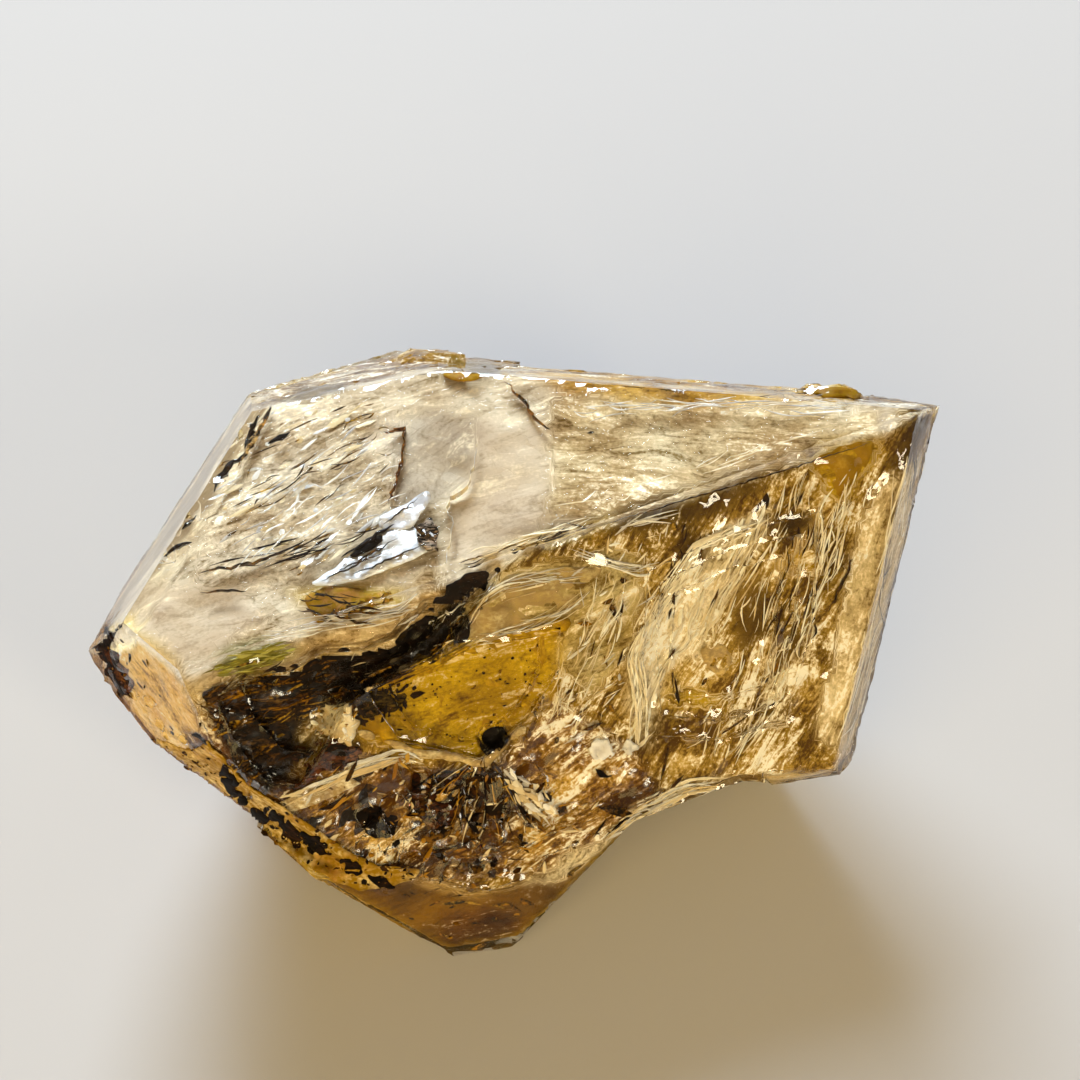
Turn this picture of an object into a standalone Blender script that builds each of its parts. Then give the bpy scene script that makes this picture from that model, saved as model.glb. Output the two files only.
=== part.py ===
"""A skeletal quartz crystal lying on its side: one flattened crystal grown together with a small foot growth.

The crystal is the space inside its own flat faces, as in nature. Each face is given by the way it looks
(azimuth and elevation of its outward normal, in degrees) and by its distance from the crystal's heart.
Azimuth 0 faces -Y, the front, and 90 faces +X. Lengths below are in millimetres. MM turns them into metres.
"""

import math
import random

import bmesh
import bpy
from mathutils import Matrix, Vector, noise

MM = 0.001
HEART_HEIGHT = 9.25  # from the resting plane up to the heart, which lies over the origin
HEART = Vector((0, 0, HEART_HEIGHT))
BLANK = 90.0  # side of the cube that the faces are cut from
SEED = 11

UPPER_FACE = (-129.8, 85.5, 8.35)
LOWER_FRONT_FACE = (20.3, 36.2, 7.1)
BASE = (0, -90, HEART_HEIGHT)

CRYSTAL_FACES = {
    "upper": UPPER_FACE,
    "lower_front": LOWER_FRONT_FACE,
    "left_back": (-113, 31, 16.1),
    "back_left": (-163.5, 48, 11.95),
    "back": (174.7, 44.5, 11.25),
    "right": (62, 10, 16.0),
    "left_rim_upper": (-45.2, 9.6, 18.1),
    "left_rim_middle": (-30, -6, 15.8),
    "left_rim_lower": (-4, -8, 14.1),
    "right_under": (122, -35, 12.9),
    "back_under": (164, -14, 11.6),
    "back_left_under": (-148, -10, 15.4),
    "left_under": (-118.5, -22, 15.0),
    "rim_under_upper": (-90.5, -35, 15.0),
    "rim_under_middle": (-60.5, -40, 15.2),
    "rim_under_lower": (-65.5, -45, 13.0),
    "keel_back": (-165, -38, 11.5),
    "keel_right": (80, -55, 15.8),
    "front_under": (18.6, -50, 11.5),
    "base": BASE,
}

FOOT_FACES = {
    "front_left": (9.3, 16.3, 10.85),
    "front_right": (21.9, 17.5, 9.85),
    "right": (55, -25, 11.05),
    "left_under": (-43.6, -30, 15.75),
    "back": (165, -40, 6.4),
    "left_back": (-100, -40, 9.75),
    "top": (0, 90, -2.75),
    "base": BASE,
}

# A broken rear tip and a small crystal on the back edge: centre from the heart, half sizes, turn about Z.
REAR_TIP = ((-5.0, 11.7, 2.65), (2.6, 1.7, 2.2), -4)
BACK_BUD = ((15.4, 8.0, 5.8), (1.7, 1.2, 1.0), -12)

# Where the bottom right corner is cut off by a small face of its own, and where the growth stops at a step
# along the back edge. The second face of each pair bounds the cut sideways.
CORNER_FACET = ((6.4, -15, 9.5), (110.3, 0, 8.6))
BACK_STEP = ((170.1, -14, 10.45), (84, 0, -1.3))

# Outlines on a face: millimetres to the right and up the slope, from the point nearest to the heart.
BROKEN_RIM = [
    (-4.4, -11.6), (-2.8, -10.2), (3.3, -9.7), (7.4, -9.6), (8.7, -10.1), (9.5, -11.3), (8.5, -15), (-4, -15),
]
HOLLOW = [
    (-2.0, 4.6), (-4.0, 3.6), (-5.6, 4.0), (-7.2, 3.0), (-8.9, 2.8), (-10.8, 3.3), (-12.4, 2.9), (-14.4, 3.3),
    (-16.0, 2.7), (-15.8, 0.6), (-14.8, -1.9), (-13.4, -2.6), (-11.5, -0.9), (-10.4, 0.5), (-8.4, 1.1),
    (-6.0, 1.6), (-4.2, 2.4),
]
CLAY_SHELF = [
    (-9.3, 0.8), (-6.0, 1.2), (-3.6, 1.7), (0.2, 1.0), (-0.3, -1.0), (-2.4, -3.0), (-4.9, -4.1), (-8.3, -2.0),
]
WINDOW = [
    (5.0, 2.4), (9.4, 3.0), (13.8, 2.7), (12.4, -2.6), (10.2, -7.2), (6.6, -7.0), (3.4, -5.6), (4.0, -1.4),
]
OPEN_VOID = (-4.0, -3.4)
VOID_RADIUS = 0.55
VOID_SIDES = 7

HOLLOW_STEPS = ((1.0, 1.0), (0.78, 1.9))  # share of the outline, depth
SHELF_STEPS = ((1.0, 0.45), (0.8, 0.75))
WINDOW_STEPS = ((1.0, 0.22), (0.82, 0.42), (0.62, 0.58))
VOID_STEPS = ((1.0, 0.9),)
RIM_DEPTH = 7.0
SKIN = 1.5  # how far a cutter stands out of the face that it cuts

CRUMBLED_PATCH = {"middle": (-7.2, -6.9), "spread": (4.6, 2.9), "count": 44, "size": (0.4, 1.05)}
RIM_PITS = {"left_rim_upper": (7, -8.0, -3.6), "left_rim_middle": (9, -7.0, -1.5)}
PIT_SIZE = (0.28, 0.6)
PIT_TURN = 1.0  # radians
EDGE_CHIPS = [(12.1, -10.6, 0.9), (9.6, -11.6, 1.1), (7.2, -12.0, 0.8), (4.6, -12.9, 0.7), (10.9, -11.2, 0.5)]
EDGE_CHIP_TURN = 0.9  # radians
PIT_DEPTH = 0.35  # share of the radius
EDGE_CHIP_DEPTH = 0.4

# How far a lump's facets stand off its ellipsoid, and where the seeds of each kind of lump start.
LUMP_UNEVENNESS = 0.3
CHIP_UNEVENNESS = 0.45
REAR_TIP_SEED, BACK_BUD_SEED, PIT_SEED, EDGE_CHIP_SEED = 5, 9, 40, 70

QUARTZ_COLOUR = (0.72, 0.60, 0.38, 1)
QUARTZ_ROUGHNESS = 0.12
QUARTZ_IOR = 1.544


def clear_scene():
    for obj in list(bpy.data.objects):
        bpy.data.objects.remove(obj)


def new_collection(name, shown):
    collection = bpy.data.collections.new(name)
    collection.hide_render = not shown
    bpy.context.scene.collection.children.link(collection)
    return collection


def quartz_material():
    material = bpy.data.materials.new("clear_quartz")
    material.use_nodes = True
    shader = material.node_tree.nodes["Principled BSDF"]
    shader.inputs["Base Color"].default_value = QUARTZ_COLOUR
    shader.inputs["Roughness"].default_value = QUARTZ_ROUGHNESS
    shader.inputs["Metallic"].default_value = 0.0
    shader.inputs["IOR"].default_value = QUARTZ_IOR
    shader.inputs["Transmission Weight"].default_value = 0.6
    return material


def outward(face):
    azimuth, elevation = math.radians(face[0]), math.radians(face[1])
    level = math.cos(elevation)
    return Vector((math.sin(azimuth) * level, -math.cos(azimuth) * level, math.sin(elevation)))


def opposite(face):
    """The same plane, with the solid on its other side."""
    return (face[0] + 180, -face[1], -face[2])


def face_matrix(face):
    """The face's own frame: x to the right and y up the slope as seen from outside, z outward."""
    normal = outward(face)
    right = Vector((math.cos(math.radians(face[0])), math.sin(math.radians(face[0])), 0))
    frame = Matrix((right, normal.cross(right), normal)).transposed().to_4x4()
    frame.translation = HEART + normal * face[2]
    return frame


def object_from(bm, name, collection, cutter=False):
    """Closes off a mesh made in millimetres: it becomes an object in metres."""
    bm.normal_update()
    bmesh.ops.recalc_face_normals(bm, faces=bm.faces)
    bmesh.ops.scale(bm, verts=bm.verts, vec=Vector((MM, MM, MM)))
    mesh = bpy.data.meshes.new(name)
    bm.to_mesh(mesh)
    bm.free()
    obj = bpy.data.objects.new(name, mesh)
    collection.objects.link(obj)
    if cutter:
        obj.hide_render = True
        obj.display_type = "WIRE"
    return obj


def faceted_block(name, faces, collection, cutter=False):
    """A cube round the heart, cut back to each of the faces in turn."""
    bm = bmesh.new()
    bmesh.ops.create_cube(bm, size=BLANK, matrix=Matrix.Translation(HEART))
    for face in faces:
        normal = outward(face)
        cut = bmesh.ops.bisect_plane(
            bm,
            geom=bm.verts[:] + bm.edges[:] + bm.faces[:],
            plane_co=HEART + normal * face[2],
            plane_no=normal,
            clear_outer=True,
        )
        rim = [part for part in cut["geom_cut"] if isinstance(part, bmesh.types.BMEdge)]
        if rim:
            bmesh.ops.contextual_create(bm, geom=rim)
    return object_from(bm, name, collection, cutter)


def sunken_step(name, face, outline, share, depth, collection):
    """A prism on a face: the outline drawn in to its share, from above the face down to the depth."""
    middle = sum((Vector(point) for point in outline), Vector((0, 0))) / len(outline)
    bm = bmesh.new()
    points = [middle + (Vector(point) - middle) * share for point in outline]
    floor = bm.faces.new([bm.verts.new((point.x, point.y, -depth)) for point in points])
    raised = bmesh.ops.extrude_face_region(bm, geom=[floor])["geom"]
    bmesh.ops.translate(
        bm,
        verts=[part for part in raised if isinstance(part, bmesh.types.BMVert)],
        vec=Vector((0, 0, depth + SKIN)),
    )
    bm.transform(face_matrix(face))
    return object_from(bm, name, collection, cutter=True)


def stepped_recess(name, face, outline, steps, collection):
    return [
        sunken_step(f"{name}_{index}", face, outline, share, depth, collection)
        for index, (share, depth) in enumerate(steps)
    ]


def round_outline(centre, radius, sides):
    turns = [2 * math.pi * index / sides for index in range(sides)]
    return [(centre[0] + radius * math.cos(turn), centre[1] + radius * math.sin(turn)) for turn in turns]


def lump(name, matrix, half_sizes, detail, unevenness, seed, collection):
    """A small uneven stone of flat facets, which a Boolean adds or takes away."""
    bm = bmesh.new()
    bmesh.ops.create_icosphere(bm, subdivisions=detail, radius=1)
    offset = Vector((seed * 3.1, seed * 1.7, seed * 0.9))
    for vert in bm.verts:
        vert.co *= 1 + unevenness * noise.noise(vert.co * 1.3 + offset)
    bmesh.ops.scale(bm, verts=bm.verts, vec=Vector(half_sizes))
    bm.transform(matrix)
    return object_from(bm, name, collection, cutter=True)


def chip_on(name, face, place, radius, depth, turn, seed, collection):
    """A lens-shaped chip: a flattened lump that dips into the face by its depth."""
    sink = Matrix.Translation((place[0], place[1], radius * 0.5 - depth))
    matrix = face_matrix(face) @ sink @ Matrix.Rotation(turn, 4, "Z")
    half_sizes = (radius, radius * 0.7, radius * 0.5)
    return lump(name, matrix, half_sizes, 1, CHIP_UNEVENNESS, seed, collection)


def crumbled_chips(collection):
    draw = random.Random(SEED)
    chips = []
    for index in range(CRUMBLED_PATCH["count"]):
        turn, reach = draw.uniform(0, 2 * math.pi), math.sqrt(draw.random())
        place = (
            CRUMBLED_PATCH["middle"][0] + CRUMBLED_PATCH["spread"][0] * reach * math.cos(turn),
            CRUMBLED_PATCH["middle"][1] + CRUMBLED_PATCH["spread"][1] * reach * math.sin(turn),
        )
        radius = draw.uniform(*CRUMBLED_PATCH["size"])
        depth = radius * draw.uniform(0.3, 0.55)
        name, spin = f"crumb_{index:02d}", draw.uniform(0, 3.1)
        chips.append(chip_on(name, LOWER_FRONT_FACE, place, radius, depth, spin, index, collection))
    return chips


def rim_pits(collection):
    draw = random.Random(SEED + 1)
    pits = []
    for face_name, (count, first, last) in RIM_PITS.items():
        for index in range(count):
            share = (index + draw.uniform(0.2, 0.8)) / count
            place = (first + (last - first) * share, draw.uniform(-2.4, 1.2))
            radius = draw.uniform(*PIT_SIZE)
            name, face, seed = f"pit_{face_name}_{index}", CRYSTAL_FACES[face_name], PIT_SEED + index
            pits.append(chip_on(name, face, place, radius, radius * PIT_DEPTH, PIT_TURN, seed, collection))
    return pits


def edge_chips(collection):
    chips = []
    for index, (right, up, radius) in enumerate(EDGE_CHIPS):
        name, depth, seed = f"edge_chip_{index}", radius * EDGE_CHIP_DEPTH, EDGE_CHIP_SEED + index
        chips.append(chip_on(name, UPPER_FACE, (right, up), radius, depth, EDGE_CHIP_TURN, seed, collection))
    return chips


def combine(body, others, operation, solver="EXACT"):
    for other in others:
        boolean = body.modifiers.new(other.name, "BOOLEAN")
        boolean.operation = operation
        boolean.solver = solver
        boolean.object = other


def placed_lump(name, place, seed, collection):
    centre, half_sizes, turn = place
    matrix = Matrix.Translation(HEART + Vector(centre)) @ Matrix.Rotation(math.radians(turn), 4, "Z")
    return lump(name, matrix, half_sizes, 2, LUMP_UNEVENNESS, seed, collection)


def side_cut(name, pair, collection):
    """All that lies outside the first face, on the outer side of the second."""
    return faceted_block(name, [opposite(pair[0]), opposite(pair[1])], collection, cutter=True)


def build():
    clear_scene()
    shown = new_collection("skeletal_quartz", shown=True)
    cutters = new_collection("cutters", shown=False)
    crystal = faceted_block("quartz_crystal", CRYSTAL_FACES.values(), shown)
    crystal.data.materials.append(quartz_material())

    breaks = [
        sunken_step("broken_rim", LOWER_FRONT_FACE, BROKEN_RIM, 1, RIM_DEPTH, cutters),
        side_cut("corner_facet", CORNER_FACET, cutters),
        side_cut("back_step", BACK_STEP, cutters),
    ]
    combine(crystal, breaks, "DIFFERENCE")
    growths = [
        faceted_block("foot_growth", FOOT_FACES.values(), cutters, cutter=True),
        placed_lump("rear_tip", REAR_TIP, REAR_TIP_SEED, cutters),
        placed_lump("back_bud", BACK_BUD, BACK_BUD_SEED, cutters),
    ]
    combine(crystal, growths, "UNION", "MANIFOLD")
    void = round_outline(OPEN_VOID, VOID_RADIUS, VOID_SIDES)
    for name, outline, steps in (
        ("hollow", HOLLOW, HOLLOW_STEPS),
        ("clay_shelf", CLAY_SHELF, SHELF_STEPS),
        ("window", WINDOW, WINDOW_STEPS),
        ("open_void", void, VOID_STEPS),
    ):
        combine(crystal, stepped_recess(name, LOWER_FRONT_FACE, outline, steps, cutters), "DIFFERENCE")
    chips = crumbled_chips(cutters) + rim_pits(cutters) + edge_chips(cutters)
    combine(crystal, chips, "DIFFERENCE", "MANIFOLD")


build()
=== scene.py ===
"""The looks of a skeletal quartz crystal: a clear faceted hull with cracks, clay and iron stains inside it.

Lengths are in metres, and MM turns the millimetres that features are given in into metres. A feature that
shows from the front has its place as pixels of the 1080 x 1080 frame: a ray through the pixel finds the
crystal's face, and the feature lies under it, along the way that the ray bends in quartz.
"""

import math
import random
from collections import namedtuple

import bmesh
import bpy
import numpy as np
from mathutils import Matrix, Vector, noise
from mathutils.bvhtree import BVHTree


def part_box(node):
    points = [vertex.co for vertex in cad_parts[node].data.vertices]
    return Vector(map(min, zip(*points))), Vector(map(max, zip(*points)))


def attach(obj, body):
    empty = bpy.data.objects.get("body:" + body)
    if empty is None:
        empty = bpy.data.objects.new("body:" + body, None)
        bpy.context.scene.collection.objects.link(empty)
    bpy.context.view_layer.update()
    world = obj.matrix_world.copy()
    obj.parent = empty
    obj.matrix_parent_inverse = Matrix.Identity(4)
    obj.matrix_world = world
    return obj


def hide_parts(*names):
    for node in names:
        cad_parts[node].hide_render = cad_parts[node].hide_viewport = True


MM = 0.001
FRAME_PIXELS = 1080
LENS = 85.0
SENSOR = 36.0
CAMERA_ELEVATION = math.radians(55)
CAMERA_DISTANCE = 127.5 * MM
CAMERA_AIM = Vector((1.05, 3.3, 10.0)) * MM
QUARTZ_IOR = 1.544
FLOOR_REACH = 1.5
FLOOR_HEIGHT = -0.02 * MM

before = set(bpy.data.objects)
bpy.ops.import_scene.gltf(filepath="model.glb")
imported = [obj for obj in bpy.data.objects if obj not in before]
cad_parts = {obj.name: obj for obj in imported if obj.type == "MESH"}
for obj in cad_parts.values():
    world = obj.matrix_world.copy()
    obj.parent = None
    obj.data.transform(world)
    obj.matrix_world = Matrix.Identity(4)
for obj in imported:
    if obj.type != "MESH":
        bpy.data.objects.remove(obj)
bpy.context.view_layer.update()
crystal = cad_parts["quartz_crystal"]


# -------------------- camera, light and floor

FORWARD = Vector((0, math.cos(CAMERA_ELEVATION), -math.sin(CAMERA_ELEVATION)))
RIGHT = Vector((1, 0, 0))
UP = RIGHT.cross(FORWARD)


def outward(azimuth, elevation):
    """The direction with this azimuth and elevation in degrees. Azimuth 0 faces -Y, and 90 faces +X."""
    turn, rise = math.radians(azimuth), math.radians(elevation)
    return Vector((math.sin(turn) * math.cos(rise), -math.cos(turn) * math.cos(rise), math.sin(rise)))


def add_object(name, data):
    item = bpy.data.objects.new(name, data)
    bpy.context.scene.collection.objects.link(item)
    return item


def add_camera():
    data = bpy.data.cameras.new("camera")
    data.lens, data.sensor_width = LENS, SENSOR
    data.clip_start = 5 * MM
    camera = add_object("camera", data)
    camera.matrix_world = Matrix((RIGHT, UP, -FORWARD)).transposed().to_4x4()
    camera.location = CAMERA_AIM - FORWARD * CAMERA_DISTANCE
    bpy.context.scene.camera = camera
    return camera


def add_area_light(name, azimuth, elevation, distance, side, power, colour):
    """A square soft box that looks at the crystal."""
    away = outward(azimuth, elevation)
    data = bpy.data.lights.new(name, "AREA")
    data.size, data.energy, data.color = side, power, colour
    light = add_object(name, data)
    light.location = away * distance
    light.rotation_euler = away.to_track_quat("Z", "Y").to_euler()


def add_world(zenith, horizon, strength):
    """A plain soft sky: one colour overhead and another at the horizon."""
    world = bpy.data.worlds.new("soft_room")
    world.use_nodes = True
    nodes, links = world.node_tree.nodes, world.node_tree.links
    where, split, ramp = (nodes.new(f"ShaderNode{kind}") for kind in ("TexCoord", "SeparateXYZ", "ValToRGB"))
    ramp.color_ramp.elements[0].color = horizon
    ramp.color_ramp.elements[1].color = zenith
    nodes["Background"].inputs["Strength"].default_value = strength
    links.new(where.outputs["Generated"], split.inputs[0])
    links.new(split.outputs["Z"], ramp.inputs[0])
    links.new(ramp.outputs[0], nodes["Background"].inputs["Color"])
    bpy.context.scene.world = world


def add_floor():
    mesh = bpy.data.meshes.new("floor")
    turns = ((-1, -1), (1, -1), (1, 1), (-1, 1))
    corners = [(x * FLOOR_REACH, y * FLOOR_REACH, FLOOR_HEIGHT) for x, y in turns]
    mesh.from_pydata(corners, [], [(0, 1, 2, 3)])
    mesh.materials.append(Shading("pale_paper", 0.9, (0.595, 0.585, 0.592, 1), 0.2).material)
    floor = add_object("floor", mesh)


# -------------------- materials

def linear(red, green, blue):
    """A colour as it looks, 0 to 255 a channel, in the shader's linear numbers."""
    return tuple(((part / 255 + 0.055) / 1.055) ** 2.4 for part in (red, green, blue))


def shades(codes):
    """Colours of 0 to 255 a channel, from their hex codes."""
    return [tuple(int(code[start:start + 2], 16) for start in (0, 2, 4)) for code in codes.split()]


class Shading:
    """A Principled material and the few kinds of node that its patterns are built from."""

    def __init__(self, name, roughness, colour=(0.5, 0.5, 0.5, 1), specular=0.5):
        self.material = bpy.data.materials.new(name)
        self.material.use_nodes = True
        self.nodes, self.links = self.material.node_tree.nodes, self.material.node_tree.links
        self.shader = self.nodes["Principled BSDF"]
        settings = {"Base Color": colour, "Roughness": roughness, "Specular IOR Level": specular}
        for socket, value in settings.items():
            self.shader.inputs[socket].default_value = value

    def node(self, kind, inputs=(), **settings):
        """A node with its inputs set: each is a number, a row of numbers or the socket that feeds it."""
        node = self.nodes.new(f"ShaderNode{kind}")
        for name, value in settings.items():
            setattr(node, name, value)
        for key, value in dict(inputs).items():
            if isinstance(value, bpy.types.NodeSocket):
                self.links.new(value, node.inputs[key])
            else:
                node.inputs[key].default_value = value
        return node

    def vectors(self, operation, one, two, output=0):
        return self.node("VectorMath", {0: one, 1: two}, operation=operation).outputs[output]

    def math(self, operation, one, two):
        return self.node("Math", {0: one, 1: two}, operation=operation).outputs[0]

    def attribute(self, name, output="Vector"):
        return self.node("Attribute", attribute_name=name).outputs[output]

    def tint(self):
        return self.attribute("tint", "Color")

    def place(self, scale=(1, 1, 1)):
        """Where a point lies on the object, in mm, each axis times its scale."""
        return self.scaled(self.node("TexCoord").outputs["Object"], tuple(part / MM for part in scale))

    def scaled(self, vector, scale):
        return self.vectors("MULTIPLY", vector, scale)

    def noise(self, vector, scale, detail, roughness, distortion=0.0, output="Fac"):
        inputs = {"Vector": vector, "Scale": scale, "Detail": detail, "Roughness": roughness}
        return self.node("TexNoise", {**inputs, "Distortion": distortion}).outputs[output]

    def ramp(self, value, low, high, start=0.0, end=1.0):
        """A value turned into start to end as it goes from low to high, and held beyond them."""
        inputs = {"Value": value, "From Min": low, "From Max": high, "To Min": start, "To Max": end}
        return self.node("MapRange", inputs).outputs["Result"]

    def mix(self, share, one, two):
        return self.node("Mix", {"Factor": share, "A": one, "B": two}, data_type="RGBA").outputs["Result"]

    def facets(self, vector, scale):
        """A height of small flat facets, each tilted its own way, as on broken quartz."""
        cells = self.node("TexVoronoi", {"Vector": vector, "Scale": scale}).outputs
        away = self.vectors("SUBTRACT", vector, cells["Position"])
        lean = self.vectors("SUBTRACT", cells["Color"], (0.5, 0.5, 0.5))
        return self.vectors("DOT_PRODUCT", away, lean, "Value")

    def bump(self, height, distance, strength):
        inputs = {"Height": height, "Distance": distance, "Strength": strength}
        self.links.new(self.node("Bump", inputs).outputs[0], self.shader.inputs["Normal"])

    def colour(self, colour):
        self.links.new(colour, self.shader.inputs["Base Color"])


DARKENING = (0.26, 0.19, 0.05)
EMBEDDED = 0.08  # the specular level of what lies in the quartz, which hardly mirrors there
PALE = (*linear(246, 226, 188), 1)
WHITE_LINE = (*linear(255, 250, 238), 1)
INK = linear(20, 12, 6)


def quartz_material():
    """Clear quartz, with a broken skin where the piece is worn."""
    look = Shading("clear_quartz", 0.0, (1, 1, 1, 1))
    look.shader.inputs["IOR"].default_value = QUARTZ_IOR
    look.shader.inputs["Transmission Weight"].default_value = 1.0
    worn = look.node("SeparateXYZ", {0: look.attribute("worn")}).outputs[0]
    look.bump(look.math("MULTIPLY", look.facets(look.place(), 2.2), worn), 0.4 * MM, 0.6)
    look.links.new(look.math("MULTIPLY", worn, 0.22), look.shader.inputs["Roughness"])
    absorption = look.node("VolumeAbsorption", {"Color": (0.97, 0.88, 0.58, 1), "Density": 100.0})
    look.links.new(absorption.outputs[0], look.nodes["Material Output"].inputs["Volume"])
    return look.material


def cloud_material():
    """Clay and veils: streaks from a dark to a pale tone of the tint, as strong as its marks ask for."""
    look = Shading("clay_and_veils", 0.55, specular=EMBEDDED)
    marks = look.node("SeparateXYZ", {0: look.attribute("marks")}).outputs
    flow = look.attribute("flow")
    wander = look.noise(look.scaled(flow, (0.3, 1, 1)), 0.5, 3.0, 0.5, output="Color")
    warped = look.vectors("ADD", flow, look.scaled(wander, (3, 3, 3)))
    broad = look.noise(look.scaled(warped, (0.35, 1, 1)), 0.45, 5, 0.6)
    streaks = look.noise(look.scaled(warped, (0.16, 1, 1)), 2.8, 6, 0.72)
    crumbs = look.noise(flow, 5.5, 4, 0.65)
    value = look.math("ADD", look.math("MULTIPLY", broad, 0.9), streaks)
    value = look.math("ADD", value, look.math("MULTIPLY", crumbs, 0.5))
    value = look.math("SUBTRACT", look.ramp(value, 0.82, 1.57), 0.5)
    value = look.math("ADD", look.math("MULTIPLY", value, marks[0]), marks[1])
    tint = look.tint()
    colour = look.mix(look.ramp(value, -0.30, 0.0), look.scaled(tint, DARKENING), tint)
    colour = look.mix(look.math("MULTIPLY", look.ramp(value, 0.05, 0.2), 0.75), colour, PALE)
    look.colour(look.mix(look.ramp(value, 0.24, 0.30), colour, WHITE_LINE))
    rough = look.ramp(marks[0], 0.1, 1.0, 0.15, 1.0)
    look.bump(look.math("MULTIPLY", look.facets(look.place((0.7, 1, 1)), 1.5), rough), 0.4 * MM, 0.9)
    return look.material


def stain_material(name, roughness, grain, stretch=(1, 1, 1), dark=INK):
    """The piece's own tint with streaks of a darker one."""
    look = Shading(name, roughness, specular=EMBEDDED)
    where = look.place(stretch)
    coarse, fine = look.noise(where, grain, 8, 0.65, 0.4), look.noise(where, grain * 5, 5, 0.6)
    streak = look.ramp(look.math("MULTIPLY", coarse, fine), 0.2, 0.36)
    look.colour(look.mix(streak, (*dark, 1), look.tint()))
    look.bump(look.facets(where, grain * 1.5), 0.25 * MM, 0.7)
    return look.material


def fracture_and_sheen_material():
    """The silvery flakes and healed cracks. Their near-white tint is partly painted reflection: it stands in
    for the mirror sheen of a fracture face, beside the shader's own metallic reflection.
    """
    look = Shading("silvery_fracture", 0.28)
    look.shader.inputs["Metallic"].default_value = 0.25
    shade = look.ramp(look.noise(look.place((0.5, 2.2, 1)), 1.5, 6, 0.7), 0.3, 0.5)
    look.colour(look.mix(shade, (*linear(186, 174, 156), 1), look.tint()))
    look.bump(look.facets(look.place(), 2.2), 0.3 * MM, 0.8)
    return look.material


def veil_material():
    """White veils and fibres: healed cracks, which scatter the light."""
    look = Shading("white_veil", 0.35, specular=0.3)
    shade = look.ramp(look.noise(look.place(), 2.6, 4, 0.6), 0.3, 0.5, 0.78, 1.0)
    look.colour(look.node("VectorMath", {0: look.tint(), "Scale": shade}, operation="SCALE").outputs[0])
    look.bump(look.facets(look.place(), 3.0), 0.1 * MM, 0.5)
    return look.material


# -------------------- where the features lie

camera = add_camera()
surface = BVHTree.FromPolygons(
    [vert.co for vert in crystal.data.vertices], [face.vertices for face in crystal.data.polygons]
)


def traced(text):
    """The points of a line or an outline in the frame, written as x,y pairs in pixels."""
    return [tuple(int(part) for part in pair.split(",")) for pair in text.split()]


def bent(direction, normal):
    """The direction of a ray after it enters the quartz."""
    cosine = -direction.dot(normal)
    ratio = 1 / QUARTZ_IOR
    inner = math.sqrt(1 - ratio * ratio * (1 - cosine * cosine))
    return direction * ratio + normal * (ratio * cosine - inner)


class Spot:
    """The place on the crystal's skin that a pixel shows, with directions along the face."""

    def __init__(self, pixel):
        reach, middle = SENSOR / LENS / FRAME_PIXELS, FRAME_PIXELS / 2
        sight = FORWARD + RIGHT * (pixel[0] - middle) * reach + UP * (middle - pixel[1]) * reach
        self.ray = sight.normalized()
        self.hit, self.normal, _, _ = surface.ray_cast(camera.location, self.ray)
        self.found = self.hit is not None
        if self.found:
            self.inner = bent(self.ray, self.normal)

    def below(self, depth):
        """The point this many mm under the face, along the bent ray, so that it shows at the same pixel."""
        return self.hit + self.inner * (depth * MM / -self.inner.dot(self.normal))

    def along(self, degrees):
        """The direction in the face that shows at this angle in the frame: 0 to the right, 90 up."""
        shown = RIGHT * math.cos(math.radians(degrees)) + UP * math.sin(math.radians(degrees))
        return (shown - self.ray * (shown.dot(self.normal) / self.ray.dot(self.normal))).normalized()


def pixels_of(points):
    """Where points in metres show in the frame."""
    away = points - np.array(camera.location)
    scale = LENS / SENSOR * FRAME_PIXELS / (away @ np.array(FORWARD))
    middle = FRAME_PIXELS / 2
    return np.stack([middle + scale * (away @ np.array(RIGHT)), middle - scale * (away @ np.array(UP))], 1)


GRAZING = -0.05  # a face less turned to the camera than this isn't looked through


def shown_pixels(points):
    """Where points in metres inside the crystal show in the frame, through the face that bends the view."""
    shown = []
    for point in map(Vector, points):
        ray = (point - camera.location).normalized()
        hit, normal, _, _ = surface.ray_cast(camera.location, ray)
        if hit is not None and normal.dot(ray) < GRAZING:
            inner = bent(ray, normal)
            point = point - inner * ((hit - point).dot(normal) / -inner.dot(normal))
        shown.append(tuple(point))
    return pixels_of(np.array(shown))


def wandering(points, size, seed, octaves=3):
    """Smooth noise for points in any unit, about -1 to 1, whose features have the given size."""
    shift = Vector((seed * 17.3, seed * 5.1, seed * 9.7))
    return np.array([noise.fractal(Vector(point) / size + shift, 1.0, 2.1, octaves) for point in points])


def border_distance(places, outline):
    """How far pixels lie inside a closed outline, negative outside."""
    corners = np.array(outline, dtype=float)
    nearest, inside = np.full(len(places), 1e9), np.zeros(len(places), dtype=bool)
    for start, end in zip(corners, np.roll(corners, -1, axis=0)):
        side, away = end - start, places - start
        share = np.clip(away @ side / (side @ side), 0, 1)
        nearest = np.minimum(nearest, np.linalg.norm(away - share[:, None] * side, axis=1))
        if start[1] != end[1]:
            spans = (start[1] > places[:, 1]) != (end[1] > places[:, 1])
            inside ^= spans & (places[:, 0] < side[0] * (places[:, 1] - start[1]) / side[1] + start[0])
    return np.where(inside, nearest, -nearest)


# -------------------- pieces and their tints

def add_layer(mesh, name, values):
    layer = mesh.attributes.new(name, "FLOAT_VECTOR", "POINT")
    layer.data.foreach_set("vector", np.array(values, dtype=float).ravel())


def add_piece(name, mesh, material, tints=None):
    """A piece of the crystal, with a tint for each of its vertices."""
    if tints is not None:
        layer = mesh.color_attributes.new("tint", "FLOAT_COLOR", "POINT")
        layer.data.foreach_set("color", np.concatenate([tints, np.ones((len(tints), 1))], 1).ravel())
    piece = add_object(name, mesh)
    mesh.materials.append(material)
    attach(piece, "root")
    return piece


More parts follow.
